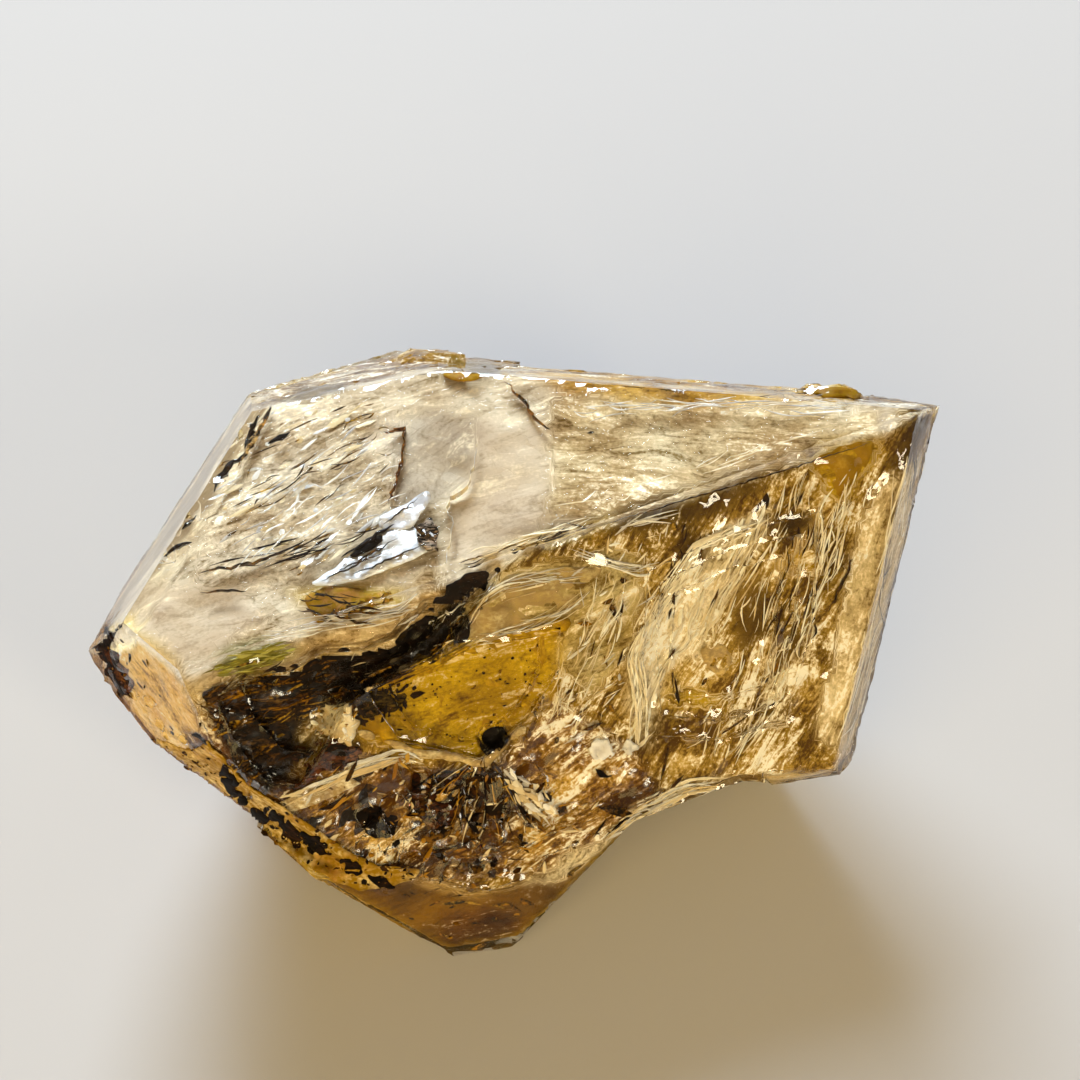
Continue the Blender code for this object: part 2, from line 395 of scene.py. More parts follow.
def blended(tones, share):
    """A colour from a row of tones given as hex codes, for shares from 0 to 1."""
    row = np.array([linear(*colour) for colour in shades(tones)])
    place = np.clip(share, 0, 0.9999) * (len(row) - 1)
    first = place.astype(int)
    part = (place - first)[:, None]
    return row[first] * (1 - part) + row[first + 1] * part


# -------------------- small closed bodies

LENS_RIM = ((-1, 0), (-0.45, 0.8), (0.4, 1), (1, 0.1), (0.35, -0.9), (-0.5, -1))
BLADE_RISE = 0.02  # mm


class Bodies:
    """Many small closed bodies gathered into one mesh."""

    def __init__(self):
        self.points, self.faces, self.tints = [], [], []

    def add(self, points, faces, tints):
        start = len(self.points)
        self.points += [tuple(point) for point in points]
        self.faces += [[start + index for index in face] for face in faces]
        self.tints += tints

    def lens(self, middle, along, normal, size, colour, chance):
        """A sliver: a six-cornered rim between two blunt tips, of this length, width and thickness in mm."""
        across = normal.cross(along)
        length, width, thick = (part * MM / 2 for part in size)
        points = []
        for x, y in LENS_RIM:
            forth = along * (x * length * chance.uniform(0.75, 1.1))
            points.append(middle + forth + across * (y * width * chance.uniform(0.5, 1.1)))
        points += [middle + normal * thick, middle - normal * thick]
        sides = [(i, (i + 1) % 6) for i in range(6)]
        faces = [(a, b, 6) for a, b in sides] + [(b, a, 7) for a, b in sides]
        self.add(points, faces, [linear(*colour)] * len(points))

    def blade(self, spots, depth, half_width, drop, colours, chance):
        """A crack through spots: a tapering body of diamond section that reaches down into the crystal."""
        path, count = [spot.below(depth) for spot in spots], len(spots)
        points, faces, tints = [], [], []
        for index, (place, normal) in enumerate(zip(path, [spot.normal for spot in spots])):
            before, after = path[max(index - 1, 0)], path[min(index + 1, count - 1)]
            across = normal.cross((after - before).normalized())
            taper = math.sin(math.pi * (index + 0.15) / (count - 0.7)) ** 0.7
            width = half_width * MM * taper * chance.uniform(0.5, 1.4)
            points += [
                place + across * width, place + normal * BLADE_RISE * MM * taper,
                place - across * width, place - normal * drop * MM * taper,
            ]
            tints += [linear(*chance.choice(colours))] * 4
            if index:
                last, now = (index - 1) * 4, index * 4
                faces += [(last + i, last + (i + 1) % 4, now + (i + 1) % 4, now + i) for i in range(4)]
        end = (count - 1) * 4
        self.add(points, faces + [(3, 2, 1, 0), (end, end + 1, end + 2, end + 3)], tints)

    def piece(self, name, material, slot):
        mesh = bpy.data.meshes.new(name)
        mesh.from_pydata(self.points, [], self.faces)
        add_piece(name, mesh, material, np.array(self.tints))


def scatter(bodies, zone, count, flow, sizes, depths, colours, seed, turn, tilt):
    """Slivers all over an outline in pixels. The flow is the angle in the frame that they roughly follow."""
    chance = random.Random(seed)
    corners = np.array(zone, dtype=float)
    low, high = corners.min(0), corners.max(0)
    placed = 0
    while placed < count:
        pixel = np.array([[chance.uniform(low[0], high[0]), chance.uniform(low[1], high[1])]])
        if border_distance(pixel, zone)[0] < 0:
            continue
        placed += 1
        spot = Spot(pixel[0])
        if not spot.found:
            continue
        along = spot.along(flow + chance.gauss(0, turn))
        lean = math.tan(math.radians(chance.gauss(0, tilt)))
        normal = (spot.normal + spot.normal.cross(along) * lean).normalized()
        shares = (chance.random() ** 2, chance.random(), chance.random())
        size = [least + (most - least) * share for share, (least, most) in zip(shares, sizes)]
        bodies.lens(spot.below(chance.uniform(*depths)), along, normal, size, chance.choice(colours), chance)


def crack(bodies, line, depth, half_width, drop, colours, seed, jitter, step=5):
    """A crack along a line of pixels, with a ragged course."""
    chance = random.Random(seed)
    places = []
    for start, end in zip(line[:-1], line[1:]):
        pieces = max(2, round(math.dist(start, end) / step))
        for share in (index / pieces for index in range(pieces)):
            places.append([here + (there - here) * share + chance.gauss(0, jitter * 0.5)
                           for here, there in zip(start, end)])
    spots = [spot for spot in map(Spot, places + [line[-1]]) if spot.found]
    if len(spots) > 2:
        bodies.blade(spots, depth, half_width, drop, colours, chance)


FIBRE_STEP = 7  # pixels
FIBRE_LEAN, FIBRE_BEND = 2.2, 2.0  # how far a fibre strays from the guide's course, in pixels
FIBRE_DROP = 0.1  # mm


def fibres(bodies, guide, count, spread, reach, half_width, colours, seed, depths):
    """Fine fibres along a guide line in pixels, each over a part of it, up to about the spread away."""
    chance = random.Random(seed)
    guide = np.array(guide, dtype=float)
    lengths = np.linalg.norm(np.diff(guide, axis=0), axis=1)
    marks = np.concatenate([[0], np.cumsum(lengths)]) / lengths.sum()
    for _ in range(count):
        length = chance.uniform(*reach)
        start = chance.uniform(0, 1 - length)
        shares = np.linspace(start, start + length, max(5, round(length * lengths.sum() / FIBRE_STEP)))
        places = np.stack([np.interp(shares, marks, guide[:, axis]) for axis in (0, 1)], 1)
        along = np.gradient(places, axis=0)
        across = np.stack([-along[:, 1], along[:, 0]], 1) / np.linalg.norm(along, axis=1)[:, None]
        lean = chance.gauss(0, FIBRE_LEAN) * np.linspace(-1, 1, len(shares))
        bend = chance.gauss(0, FIBRE_BEND) * np.sin(np.linspace(0, math.pi, len(shares)))
        places += across * (chance.gauss(0, 0.6) * spread + lean + bend)[:, None]
        spots = [spot for spot in map(Spot, places) if spot.found]
        if len(spots) > 2:
            depth, width = chance.uniform(*depths), half_width * chance.uniform(0.5, 1.5)
            bodies.blade(spots, depth, width, FIBRE_DROP, [chance.choice(colours)], chance)


# -------------------- thin plates

LEDGE = 1.0 * MM  # a sheet breaks off where the skin drops by more than this from one pixel to the next
SHEET_THICKNESS = 0.06  # mm


def cells_shown(grid, field):
    """A place in each square of the grid that a sheet reaches: its middle, or where the border crosses."""
    places = {}
    for column in range(field.shape[0] - 1):
        for row in range(field.shape[1] - 1):
            ring = [(column, row), (column + 1, row), (column + 1, row + 1), (column, row + 1)]
            found = []
            for one, two in zip(ring, ring[1:] + ring[:1]):
                if (field[one] > 0) != (field[two] > 0):
                    share = field[one] / (field[one] - field[two])
                    found.append(grid[one] * (1 - share) + grid[two] * share)
            if not found and field[ring[0]] > 0:
                found = [grid[node] for node in ring]
            if found:
                places[column, row] = sum(found) / len(found)
    return places


def sheet(name, outline, material, slot, depth, relief, ragged, size, seed, tones, least=0.08, cell=4):
    """A thin crumpled plate inside the crystal. It shows inside the outline of pixels, with a ragged edge.

    Depth is in mm, below zero for a crust on the skin, and it is nowhere under the least.
    """
    corners, margin = np.array(outline, dtype=float), 3 * cell
    ends = zip(corners.min(0) - margin, corners.max(0) + margin)
    steps = [np.arange(low, high, cell) for low, high in ends]
    grid = np.stack(np.meshgrid(*steps, indexing="ij"), -1)
    flat = grid.reshape(-1, 2)
    wobble = wandering(np.pad(flat, ((0, 0), (0, 1))), size, seed, 4) * ragged
    field = (border_distance(flat, outline) + wobble).reshape(grid.shape[:2])
    top, under, number, shift = [], [], {}, Vector((seed, 7.7, seed))
    for key, place in cells_shown(grid, field).items():
        spot = Spot(place)
        if spot.found:
            bumps = noise.fractal(Vector((*place, 0)) / size + shift, 0.9, 2.1, 4) * relief
            number[key] = len(top)
            top.append(spot.below(max(least, depth + bumps)))
            under.append(top[-1] - spot.normal * SHEET_THICKNESS * MM)
    faces, edges = [], {}
    count = len(top)
    for column, row in zip(*np.nonzero(field > 0)):
        ring = [(column - 1, row - 1), (column - 1, row), (column, row), (column, row - 1)]
        if all(key in number for key in ring):
            ring = [number[key] for key in ring]
            if max((top[ring[i]] - top[ring[i - 1]]).length for i in range(4)) <= LEDGE:
                faces += [ring, [index + count for index in reversed(ring)]]
                edges.update(dict.fromkeys(zip(ring, ring[1:] + ring[:1])))
    faces += [[two, one, one + count, two + count] for one, two in edges if (two, one) not in edges]
    mesh = bpy.data.meshes.new(name)
    points = np.array([tuple(point) for point in top + under])
    mesh.from_pydata(points, [], faces)
    mesh.shade_smooth()
    grain = wandering(points / MM, 1.3, seed + 5, 4) * 0.55 + 0.5
    add_piece(name, mesh, material, blended(tones, grain))


# -------------------- looks of the faces

# The looks of a stretch of the crystal. For the cloud under it: the tones that its tint runs through, how
# strong its streaks are, how much paler than even, and the angle that they follow in the frame. For the skin:
# how deep it is pitted in mm, the size of its lumps in mm, and how broken it is from 0 to 1.
Look = namedtuple("Look", "tones streaks paler angle skin")
LOOKS = {
    "champagne": Look("b49c7c c8b496 d8c8ae", 0.7, 0.0, 22, (0.02, 4.0, 0.02)),
    "peach": Look("b29a7e c4ae92 d0bea4", 0.42, 0.0, 20, (0.01, 5.0, 0.0)),
    "dashed": Look("b09470 ccb696 e0ceb6", 1.1, 0.02, 27, (0.03, 2.0, 0.05)),
    "veil": Look("a08c74 b2a088 c2b29c", 0.5, 0.0, 60, (0.02, 4.0, 0.0)),
    "lilac": Look("7e684c 947e62 a89274", 0.3, 0.0, 60, (0.02, 4.0, 0.0)),
    "smoke": Look("927042 bca072 d6c29c", 1.0, 0.0, -7, (0.03, 3.0, 0.04)),
    "gold": Look("8c5c0e b68628 d6ac54", 0.9, -0.07, -5, (0.12, 1.0, 0.25)),
    "ochre": Look("4e3000 744c02 a0741a", 1.2, -0.02, -5, (0.14, 0.9, 0.3)),
    "edge": Look("704a10 9c702c cca86c", 1.7, 0.0, 77, (0.14, 0.8, 0.4)),
    "veined": Look("72560e a07e28 ceac5c", 1.8, -0.055, 62, (0.10, 1.4, 0.22)),
    "feather": Look("b49e74 d4c29c f0e6d0", 1.5, 0.04, 64, (0.10, 1.2, 0.20)),
    "umber": Look("3c2a04 5e4408 866618", 0.6, -0.07, 62, (0.12, 1.4, 0.15)),
    "shell": Look("8a6e2c b29a5a d4c28e", 1.1, 0.02, 24, (0.08, 1.4, 0.15)),
    "strip": Look("ac9262 ccb688 e2d2ac", 1.2, 0.03, 77, (0.05, 1.2, 0.12)),
    "beige": Look("cc9c4e eac67a f6dea6", 1.0, 0.0, -38, (0.12, 1.0, 0.55)),
    "crust": Look("281404 60360c 966022", 1.0, -0.05, -60, (0.20, 0.8, 0.9)),
    "amber": Look("926e00 b89200 d8b214", 0.8, -0.02, 12, (0.10, 1.5, 0.25)),
    "honey": Look("4a3000 6e4a00 9a6e00", 0.5, -0.05, 8, (0.12, 1.4, 0.4)),
    "molasses": Look("2c1800 4e2c00 764a02", 0.8, -0.04, 8, (0.14, 1.2, 0.5)),
    # The rim's underside: rust-orange clay, with brighter tones that partly stand in for light glowing
    # through the crystal, as painted glow.
    "rust_and_glow": Look("8c4e0e be802e e8ba6c", 1.0, 0.0, -38, (0.15, 1.2, 0.4)),
    "olive": Look("585608 767216 9c963e", 0.7, 0.0, 15, (0.02, 3.0, 0.0)),
    "hidden": Look("967030 b89454 d4b882", 1.2, 0.0, 15, (0.06, 1.6, 0.10)),
    # The dark band under the broken lip: partly dark clay, partly painted shade of the recess beneath the
    # lip.
    "dark": Look("0a0501 180b02 402106", 0.7, -0.16, 27, (0.12, 1.0, 0.7)),
    "crumbled": Look("503004 926616 d8ac4a", 2.1, -0.08, 35, (0.30, 0.9, 0.8)),
}

# The faces: azimuth, elevation, distance from the crystal's heart and how deep the cloud starts in mm, looks.
CRYSTAL_FACES = {
    "upper": (-129.8, 85.5, 8.35, 0.8, "champagne"),
    "lower_front": (20.3, 36.2, 7.1, 0.45, "veined"),
    "left_back": (-113, 31, 16.1, 1.2, "lilac"),
    "back_left": (-163.5, 48, 11.95, 0.3, "ochre"),
    "back": (174.7, 44.5, 11.25, 0.15, "ochre"),
    "right": (62, 10, 16.0, 0.2, "edge"),
    "left_rim_upper": (-45.2, 9.6, 18.1, 0.02, "beige"),
    "left_rim_middle": (-30, -6, 15.8, 0.02, "beige"),
    "left_rim_lower": (-4, -8, 14.1, 0.1, "beige"),
    "right_under": (122, -35, 12.9, 0.15, "gold"),
    "back_under": (164, -14, 11.6, 0.15, "gold"),
    "back_left_under": (-148, -10, 15.4, 0.3, "hidden"),
    "left_under": (-118.5, -22, 15.0, 0.7, "hidden"),
    # The rim's underside takes this look: rust-orange clay and partly painted glow of light passing through.
    "rim_under_upper": (-90.5, -35, 15.0, 0.15, "rust_and_glow"),
    "rim_under_middle": (-60.5, -40, 15.2, 0.15, "rust_and_glow"),
    "rim_under_lower": (-65.5, -45, 13.0, 0.15, "rust_and_glow"),
    "keel_back": (-165, -38, 11.5, 0.8, "hidden"),
    "keel_right": (80, -55, 15.8, 0.8, "hidden"),
    "front_under": (18.6, -50, 11.5, 0.7, "hidden"),
    "base": (0, -90, 9.25, 0.15, "amber"),
}
FOOT_FACES = {
    "front_left": (9.3, 16.3, 10.85, 0.25, "honey"),
    "front_right": (21.9, 17.5, 9.85, 0.25, "honey"),
    "foot_right": (55, -25, 11.05, 0.15, "amber"),
    "foot_left": (-43.6, -30, 15.75, 0.15, "amber"),
    "foot_back": (165, -40, 6.4, 0.6, "amber"),
    "foot_left_back": (-100, -40, 9.75, 0.6, "amber"),
    "foot_top": (0, 90, -2.75, 0.0, "amber"),
    "foot_base": (0, -90, 9.25, 0.15, "amber"),
}

HEART = Vector((0, 0, 9.25)) * MM
FACES = [*CRYSTAL_FACES.values(), *FOOT_FACES.values()]
FACE_NORMALS = np.array([tuple(outward(*face[:2])) for face in FACES])

# Stretches that show from the front: looks, and an outline in pixels. A later one lies over an earlier.
ZONE_DRIFT = 6.3  # how far in pixels the border of a zone strays
ZONES = (
    ("lilac", "250,398 268,410 214,500 164,566 114,626 88,640 140,555 200,466"),
    ("champagne", "174,666 300,622 452,572 520,551 497,571 466,603 442,577 427,606 397,639 368,651 319,653 "
     "295,669 248,672 213,684 198,695 186,695"),
    ("veil", "500,556 593,524 682,496 769,470 879,436 905,420 890,412 860,420 760,446 680,472 590,500 "
     "530,520 490,540"),
    ("veined", "593,530 682,502 769,476 879,442 868,458 760,492 680,518 600,545"),
    ("dashed", "262,410 300,394 396,408 404,440 394,505 330,548 240,578 200,566 206,520 226,470"),
    ("dashed", "196,540 300,548 308,584 280,592 200,592"),
    ("peach", "478,420 552,430 552,470 536,538 455,566 450,520 466,490"),
    ("peach", "142,580 240,590 262,618 220,656 170,658 122,628 128,600"),
    ("veil", "404,412 440,406 476,418 478,450 466,486 448,500 420,505 394,504 398,450"),
    ("smoke", "432,560 442,600 400,644 360,658 300,656 288,640 330,624 392,612 408,590"),
    ("dashed", "230,636 262,618 300,622 290,644 240,650"),
    ("amber", "290,592 320,585 370,586 404,594 398,612 350,610 300,606"),
    ("olive", "212,669 238,652 274,642 300,650 278,664 244,674"),
    ("smoke", "550,398 700,404 880,412 872,440 700,486 600,516 538,528 552,470"),
    ("gold", "512,368 600,374 700,384 812,390 864,396 780,404 660,404 560,394"),
    ("ochre", "250,400 322,378 366,360 414,348 462,350 452,362 400,368 350,380 256,408"),
    ("umber", "276,400 300,386 342,382 346,390 300,402"),
    ("umber", "440,374 456,360 490,360 502,370 480,380"),
    # The dark band: partly dark clay, partly painted shade of the recess beneath the broken lip.
    ("dark", "486,584 472,588 446,614 424,640 396,660 323,664 300,676 232,690 210,704 214,730 236,790 "
     "262,806 296,770 300,728 340,706 392,684 436,652 470,642 468,604"),
    ("crust", "196,700 214,716 234,760 240,800 222,790 202,744"),
    ("shell", "452,626 470,602 507,577 560,560 610,545 640,560 640,640 590,700 560,660 568,625 474,645"),
    ("amber", "352,700 422,656 474,643 551,622 570,622 560,670 552,712 499,730 480,762 417,754 356,738"),
    ("umber", "300,742 340,728 364,744 352,764 316,776 298,764"),
    ("crumbled", "262,800 300,772 356,756 420,770 486,776 520,740 560,700 604,730 640,760 660,790 640,806 "
     "600,846 540,872 450,884 380,876 320,850"),
    ("feather", "773,508 742,520 700,548 668,596 644,634 628,660 632,700 640,752 654,752 656,700 668,668 "
     "704,650 712,612 740,570 766,540"),
    ("umber", "600,526 650,508 700,494 760,476 792,466 786,478 742,498 712,512 660,530 612,538"),
    ("umber", "650,512 668,500 692,500 722,488 738,500 726,520 690,518 662,524"),
    ("umber", "670,540 690,532 710,544 704,562 682,560"),
    ("umber", "733,600 762,570 770,600 766,632 742,648 728,624"),
    ("umber", "780,516 800,506 820,518 806,534 786,532"),
    ("umber", "766,668 776,644 800,626 808,644 792,670 776,684"),
    ("amber", "812,462 838,446 878,440 866,470 842,502 826,490"),
    ("amber", "786,556 812,546 828,556 818,572 794,568"),
    ("amber", "668,696 700,690 732,696 716,706 680,706"),
    ("strip", "868,500 925,440 905,560 870,690 845,760 816,740 836,640"),
    ("umber", "884,470 912,420 934,412 928,450 900,480"),
    ("feather", "640,806 700,780 740,776 700,800 610,846 560,880 520,884 600,838"),
    ("molasses", "438,912 470,906 516,910 524,928 500,948 462,950 444,938"),
    ("crust", "244,802 262,804 276,816 268,830 250,824"),
    ("crust", "274,816 296,822 308,838 298,850 280,840"),
    ("crust", "302,838 326,842 334,856 310,860"),
    ("crust", "336,856 360,860 368,874 342,876"),
    ("crust", "368,872 390,876 396,892 372,890"),
    ("crust", "180,728 198,738 212,758 204,768 188,752"),
    ("crust", "212,762 232,774 246,794 236,802 218,786"),
    ("crust", "86,640 96,622 122,624 130,640 112,648 118,672 132,700 120,712 96,668"),
)


def looks_at(verts, places):
    """The looks at each vertex: those under the face that the camera sees it through, or under the nearest.

    The zones lie over those that face the camera, by the places in the frame that they show at.
    """
    looks, facing = [], []
    for vert in verts:
        away = vert.co - camera.location
        facing.append(vert.normal.dot(away) < 0)
        seen = surface.ray_cast(camera.location, away.normalized())[1] if facing[-1] else None
        if seen is None:
            seen = surface.find_nearest(vert.co)[1]
        looks.append(FACES[int(np.argmax(FACE_NORMALS @ np.array(seen)))][4])
    looks, facing = np.array(looks, dtype=object), np.array(facing)
    for look, outline in ZONES:
        looks[facing & (border_distance(places, traced(outline)) > 0)] = look
    return looks


def flow_place(point, degrees):
    """A point in mm, in a frame turned so that its first axis follows an angle of the picture."""
    turn = math.radians(degrees)
    along = RIGHT * math.cos(turn) + UP * math.sin(turn)
    across = UP * math.cos(turn) - RIGHT * math.sin(turn)
    return (point.dot(along) / MM, point.dot(across) / MM, point.dot(FORWARD) / MM)


def evened(edges, values, times):
    """Values of the vertices, each averaged with its neighbours along the edges."""
    start, end = edges.T
    for _ in range(times):
        total, count = values.copy(), np.ones((len(values), 1))
        for one, two in ((start, end), (end, start)):
            np.add.at(total, one, values[two])
            np.add.at(count, one, 1)
        values = total / count
    return values


# -------------------- the cloud of clay and veils

CLOUD_CELL = 0.3 * MM
GRID_SHIFT = 1.37  # cells: no line of the grid may run through a corner of the crystal
NEAR_LIMIT = 0.6 * MM
SKIN_GAP = 0.24 * MM  # the least clear quartz between the cloud and the skin

# The broken rear tip and the bud on the back edge, which the clay fills: middle and radius in mm.
LUMPS = [((-5.0, 11.7, 11.9), 2.4), ((15.4, 8.0, 15.05), 1.9)]


def crossings_above(start):
    """The heights at which a line straight up from a point passes through the crystal's skin."""
    heights, place = [], Vector(start)
    while True:
        hit, _, _, _ = surface.ray_cast(place, Vector((0, 0, 1)))
        if hit is None:
            return heights
        heights.append(hit.z)
        place = hit + Vector((0, 0, 1e-7))


def grid_inside(cell):
    """A grid of points round the crystal, and which of them lie inside it."""
    low, high = (np.array(corner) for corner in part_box("quartz_crystal"))
    counts = np.ceil((high - low) / cell).astype(int) + 4
    steps = [low[axis] + cell * (np.arange(counts[axis]) - GRID_SHIFT) for axis in range(3)]
    inside = np.zeros(tuple(counts), dtype=bool)
    for row, x in enumerate(steps[0]):
        for column, y in enumerate(steps[1]):
            for height in crossings_above((x, y, steps[2][0])):
                inside[row, column] ^= steps[2] > height
    return np.stack(np.meshgrid(*steps, indexing="ij"), -1), inside


def under_faces(points, faces, lumps):
    """How far inside a set of faces each point lies, with each face moved in to where the cloud starts."""
    reach = np.full(len(points), 1e9)
    for azimuth, elevation, distance, start, _ in faces.values():
        normal = np.array(outward(azimuth, elevation))
        room = (distance - start * (1 + lumps)) * MM - (points - np.array(HEART)) @ normal
        reach = np.minimum(reach, room)
    return reach


def cloud_field(points, inside):
    """Above zero inside the cloud, in metres."""
    flat = points.reshape(-1, 3)
    kept = np.flatnonzero(inside.ravel())
    field = np.full(len(flat), -CLOUD_CELL)
    near = flat[kept]
    broad, fine = wandering(near / MM, 3.2, 1), wandering(near / MM, 1.1, 2, 2)
    lumps = np.clip(broad * 0.7 + fine * 0.3, -0.9, 0.9) * 0.45
    reach = np.maximum(under_faces(near, CRYSTAL_FACES, lumps), under_faces(near, FOOT_FACES, lumps))
    for middle, radius in LUMPS:
        reach = np.maximum(reach, radius * MM - np.linalg.norm(near - np.array(middle) * MM, axis=1))
    skin = np.full(len(near), NEAR_LIMIT)
    for index, point in enumerate(near):
        found = surface.find_nearest(Vector(point), NEAR_LIMIT)
        if found[0] is not None:
            skin[index] = found[3]
    field[kept] = np.minimum(reach, skin - SKIN_GAP)
    return field.reshape(inside.shape)


def surface_net(points, field):
    """The closed surface where a field on a grid changes sign: one vertex in each cell that it crosses."""
    inside, cells = field > 0, tuple(count - 1 for count in field.shape)
    total, hits = np.zeros(cells + (3,)), np.zeros(cells)

    def at(values, corner):
        return values[tuple(slice(start, start + count) for start, count in zip(corner, cells))]

    for corner in np.ndindex(2, 2, 2):
        for axis in range(3):
            if corner[axis]:
                continue
            end = tuple(value + (index == axis) for index, value in enumerate(corner))
            here, there = at(field, corner), at(field, end)
            crosses = (here > 0) != (there > 0)
            share = np.where(crosses, here / np.where(crosses, here - there, 1), 0)[..., None]
            total += (at(points, corner) * (1 - share) + at(points, end) * share) * crosses[..., None]
            hits += crosses
    active = hits > 0
    number = np.full(cells, -1)
    number[active] = np.arange(active.sum())
    faces = []
    for axis in range(3):
        one, two = np.roll((1, 0, 0), axis + 1), np.roll((1, 0, 0), axis + 2)
        for cell in np.argwhere(np.diff(inside, axis=axis)):
            ring = [number[tuple(cell - back)] for back in (0, one, one + two, two)]
            faces.append(ring if inside[tuple(cell)] else ring[::-1])
    return total[active] / hits[active][:, None], faces


def build_cloud():
    points, inside = grid_inside(CLOUD_CELL)
    verts, faces = surface_net(points, cloud_field(points, inside))
    mesh = bpy.data.meshes.new("clay_cloud")
    mesh.from_pydata(verts, [], faces)
    mesh.shade_smooth()
    drift = np.stack([wandering(verts / MM, 1.2, seed, 4) for seed in (3, 4)], 1) * ZONE_DRIFT
    looks = looks_at(mesh.vertices, shown_pixels(verts) + drift)
    grain = wandering(verts / MM, 2.4, 6, 4) * 0.6 + 0.5
    tints = np.empty((len(verts), 3))
    for name, look in LOOKS.items():
        tints[looks == name] = blended(look.tones, grain[looks == name])
    marks = np.array([(LOOKS[look].streaks, LOOKS[look].paler, 0) for look in looks])
    edges = np.array([edge.vertices for edge in mesh.edges])
    flow = [flow_place(vert.co, LOOKS[look].angle) for vert, look in zip(mesh.vertices, looks)]
    add_layer(mesh, "marks", evened(edges, marks, 2))
    add_layer(mesh, "flow", flow)
    add_piece("clay_cloud", mesh, cloud_material(), evened(edges, tints, 2))


# -------------------- the clear hull

HULL_CELL = 0.33 * MM
SHARP_EDGE = math.radians(12)
PIT_STRETCH = 0.45  # the pits run along the streaks under them
LEVEL = 0.985  # how far up a face of the nearly smooth upper face and its edges points
LEVEL_SHARE = 0.12  # how deep its pits are, beside the rest


def diced(bm, cell):
    """Cuts every face along three sets of parallel planes, so that a flat face can carry fine relief."""
    for axis in range(3):
        spread = [vert.co[axis] for vert in bm.verts]
        first, last = min(spread), max(spread)
        for index in range(1, int((last - first) / cell)):
            place, normal = Vector((0, 0, 0)), Vector((0, 0, 0))
            place[axis], normal[axis] = first + index * cell, 1
            parts = bm.verts[:] + bm.edges[:] + bm.faces[:]
            bmesh.ops.bisect_plane(bm, geom=parts, plane_co=place, plane_no=normal)


def pitted(bm):
    """Sinks the skin by small lumps, as deep as its looks ask for, and gives how broken each vertex is."""
    bm.normal_update()
    looks = looks_at(bm.verts, pixels_of(np.array([tuple(vert.co) for vert in bm.verts])))
    edges = np.array([[vert.index for vert in edge.verts] for edge in bm.edges])
    skins = evened(edges, np.array([LOOKS[look].skin for look in looks]), 4)
    for vert, look, (depth, size, _) in zip(bm.verts, looks, skins):
        place = Vector(flow_place(vert.co, LOOKS[look].angle))
        place.x *= PIT_STRETCH
        lumps = noise.fractal(place / size, 0.9, 2.1, 4)
        depth *= LEVEL_SHARE if any(face.normal.z > LEVEL for face in vert.link_faces) else 1
        vert.co -= vert.normal * depth * MM * min(1.0, max(0.0, 0.5 + lumps * 0.8))
    return skins[:, [2, 2, 2]]


def build_hull():
    bm = bmesh.new()
    bm.from_mesh(crystal.data)
    bmesh.ops.remove_doubles(bm, verts=bm.verts, dist=1e-6)
    bmesh.ops.dissolve_limit(bm, angle_limit=0.01, verts=bm.verts, edges=bm.edges)
    diced(bm, HULL_CELL)
    worn = pitted(bm)
    mesh = bpy.data.meshes.new("quartz_hull")
    bm.to_mesh(mesh)
    bm.free()
    add_layer(mesh, "worn", worn)
    mesh.shade_smooth()
    mesh.set_sharp_from_angle(angle=SHARP_EDGE)
    hull = add_piece("quartz_hull", mesh, quartz_material())
    hull.visible_shadow = False
    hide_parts("quartz_crystal")


# -------------------- tables of the pieces inside

IVORIES = shades("fffaea faeed4 eedebe")
WHITES = shades("fffcf4 f0ece4 e2dacc cec8c2")
CREAMS = shades("f6e8c8 e8d4aa d8be8c")
GREYS = shades("c4beb8 b0a8a0 d6cec4")
BROWNS = shades("5c3a0c 3e2408 7e5616")
BLACKS = shades("140c06 22140a")
OLIVES = shades("b0a646 968c24 7a700e")
AMBERS = shades("b07c10 966408 ca9c32")
# Near-black tones of the dark band under the broken lip: partly dark clay, partly painted shade of the recess
# there.
SHADE_AND_SOOT = "0e0804 180e07 2c1a0c 5c3818"
UMBERS = "160c04 2c1a08 5c3c12 966c2e"

RIM_CLAY = (
    "118,706 150,736 188,752 206,742 222,758 246,786 270,800 306,822 345,850 380,866 426,870 410,880 "
    "380,890 361,892 328,878 302,860 272,842 250,820 214,800 197,784 164,758 138,736"
)
RIM_SPOTS = (
    "248,806 260,808 270,818 266,826 254,820",
    "276,817 292,822 304,838 298,848 284,838",
    "304,842 322,844 330,854 312,855",
    "338,860 358,862 364,874 346,874",
    "368,876 388,879 392,888 374,887",
    "218,778 230,780 240,794 232,797",
    "222,764 240,784 236,788 220,772",
    "234,792 246,796 250,806 240,804",
    "262,808 280,812 286,820 270,818",
    "296,832 318,838 334,850 308,846",
)
UPPER_DASHES = "240,415 300,405 395,410 400,470 380,530 300,575 240,560 200,520"
POCKET = (
    "300,800 330,770 400,756 480,766 540,790 600,800 640,810 600,846 540,872 450,882 380,872 320,840"
)
FEATHERS = (
    "773,508 742,520 700,548 672,590 648,628 630,660 632,700 640,750 652,750 654,700 664,672 700,650 "
    "712,612 736,570 764,540"
)
RIGHT_FACE = "700,500 820,470 842,500 800,700 760,780 660,790 640,740"
AMBER_AREA = "366,694 424,660 550,626 540,690 500,724 470,748 400,742"
OLIVE_AREA = "346,702 366,684 400,682 424,690 410,706 386,718 360,724"
CREAM_AREA = "308,712 326,700 354,702 362,724 350,748 326,742 308,732"
OLIVE_PATCH = "213,668 236,654 270,644 296,650 276,662 246,672 222,676"
SHARD_AREA = "506,772 522,778 546,790 556,812 544,824 526,812 510,794"
RIM = "96,650 126,640 190,700 250,790 330,850 300,860 200,790 120,715"
FOOT = "330,875 400,885 520,890 580,868 520,925 480,955 430,930"
MIDDLE = "560,560 680,520 690,560 640,640 600,740 560,760 545,700 580,630"
FAN_START = (486, 752)
FAN_ENDS = traced("396,812 424,836 450,848 478,856 508,852 536,836")

